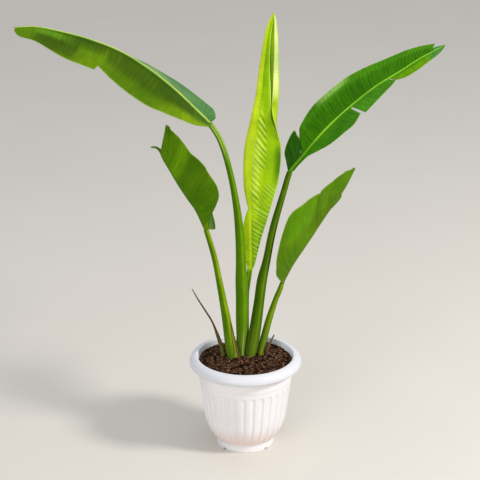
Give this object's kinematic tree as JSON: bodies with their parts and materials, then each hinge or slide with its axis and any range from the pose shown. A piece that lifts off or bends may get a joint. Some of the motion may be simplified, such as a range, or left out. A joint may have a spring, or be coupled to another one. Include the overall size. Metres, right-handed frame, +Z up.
{
  "type": "potted travelers palm",
  "caption": "Young travelers palm with a flat fan of long-stalked paddle leaves, a rolled centre leaf and dry remains, planted in soil in a round fluted white pot.",
  "frame": {"origin": "centre of the pot's foot ring on the surface it stands on, which is also the bottom centre of the bounding box", "axes": "+Z up; the fan of leaves is turned 28 degrees about Z from X, its left leaves reach towards -X and -Y and its right leaves towards +X and +Y; Y is the shortest extent"},
  "size_m": [0.731, 0.3857, 0.8258],
  "materials": {
    "pot": "satin",
    "soil": "matte",
    "leaf_green": "satin",
    "leaf_deep_green": "satin",
    "leaf_young": "satin",
    "dry_stalk": "matte"
  },
  "bodies": {
    "root": {"pot": "pot", "soil": "soil", "leaf_upper_left": "leaf_green", "leaf_lower_left": "leaf_green", "leaf_upper_right": "leaf_deep_green", "leaf_lower_right": "leaf_green", "leaf_centre": "leaf_young", "dead_stalk_left": "dry_stalk", "dead_stub_right": "dry_stalk", "dry_sheath": "dry_stalk"}
  },
  "joints": []
}
